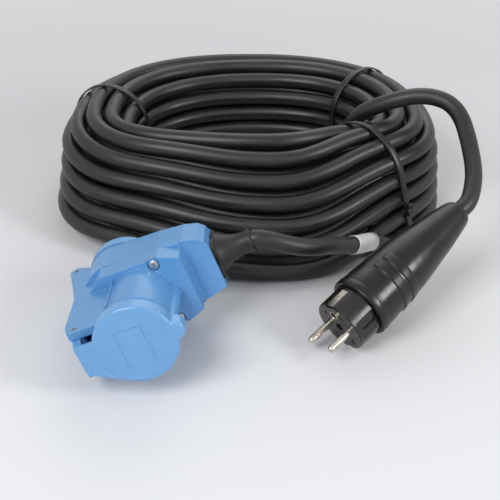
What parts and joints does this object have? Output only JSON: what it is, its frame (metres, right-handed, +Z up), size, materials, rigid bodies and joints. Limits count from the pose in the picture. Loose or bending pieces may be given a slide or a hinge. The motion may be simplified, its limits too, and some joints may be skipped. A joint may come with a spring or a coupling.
{
  "type": "shore power cord",
  "caption": "Mains extension lead for a caravan: angled blue camping coupler with a second outlet on its back, tied cable coil and black household plug.",
  "frame": {"origin": "middle of the underside of the coupler's bounding box, on the surface it lies on", "axes": "+Z up, -Y out of the coupler's front socket, +X along its cable exit"},
  "size_m": [0.3077, 0.3737, 0.1079],
  "materials": {
    "shell_blue": "smooth sky blue moulding, satin gloss",
    "lid_blue": "smooth sky blue moulding, gloss",
    "insert_blue": "deeper blue moulding",
    "seal_black": "matt",
    "screw_zinc": "zinc plated",
    "contact_brass": "turned",
    "nickel": "nickel plated",
    "spring_steel": "drawn wire",
    "boot_rubber": "satin",
    "cable_rubber": "satin sheath",
    "inner_turns": "satin sheath",
    "line_wire": "core insulation",
    "neutral_wire": "core insulation",
    "earth_wire": "core insulation",
    "plug_wire": "core insulation",
    "label_white": "bare paper label under clear film",
    "tie_black": "nylon",
    "hood_rubber": "satin",
    "plug_black": "glossy"
  },
  "bodies": {
    "cord": {"front_shell": "shell_blue", "rear_shell": "shell_blue", "housing_seal": "seal_black", "housing_screws": "screw_zinc", "socket_insert": "insert_blue", "socket_line_contact": "contact_brass", "socket_neutral_contact": "contact_brass", "socket_earth_contact": "contact_brass", "socket_terminal_screws": "screw_zinc", "front_hinge_pin": "spring_steel", "front_lid_spring": "spring_steel", "outlet_insert": "insert_blue", "outlet_line_contact": "contact_brass", "outlet_neutral_contact": "contact_brass", "outlet_earth_clip": "nickel", "rear_hinge_pin": "spring_steel", "rear_lid_spring": "spring_steel", "cable_boot": "boot_rubber", "coupler_cable_tail": "cable_rubber", "coupler_cord_clamp": "insert_blue", "coupler_clamp_screws": "screw_zinc", "coupler_line_wires": "line_wire", "coupler_neutral_wires": "neutral_wire", "coupler_earth_wires": "earth_wire", "lead_to_coupler": "cable_rubber", "cable_label": "label_white", "coil_turns": "cable_rubber", "coil_core": "inner_turns", "cable_ties": "tie_black", "lead_to_plug": "cable_rubber", "plug_hood": "hood_rubber", "plug_insert": "plug_black", "plug_pins": "nickel", "plug_earth_bars": "nickel", "plug_earth_socket": "contact_brass", "plug_terminal_screws": "screw_zinc", "plug_cord_clamp": "plug_black", "plug_clamp_screws": "screw_zinc", "plug_cable_tail": "cable_rubber", "plug_wires": "plug_wire"},
    "front_lid": {"front_lid": "lid_blue", "front_lid_seal": "seal_black"},
    "rear_lid": {"rear_lid": "lid_blue", "rear_lid_seal": "seal_black"}
  },
  "joints": [
    {"name": "front_lid_hinge", "type": "hinge", "parent": "cord", "child": "front_lid", "pos_m": [-0.04055, -0.03881, 0.02783], "axis": [0.3746, -0.0969, -0.9221], "range_deg": [0, 110], "stiffness_Nm_per_rad": 0.02, "springref_deg": -57.3},
    {"name": "rear_lid_hinge", "type": "hinge", "parent": "cord", "child": "rear_lid", "pos_m": [-0.05168, 0.03979, 0.01505], "axis": [-0.3746, 0.0969, 0.9221], "range_deg": [0, 110], "stiffness_Nm_per_rad": 0.02, "springref_deg": -57.3}
  ]
}
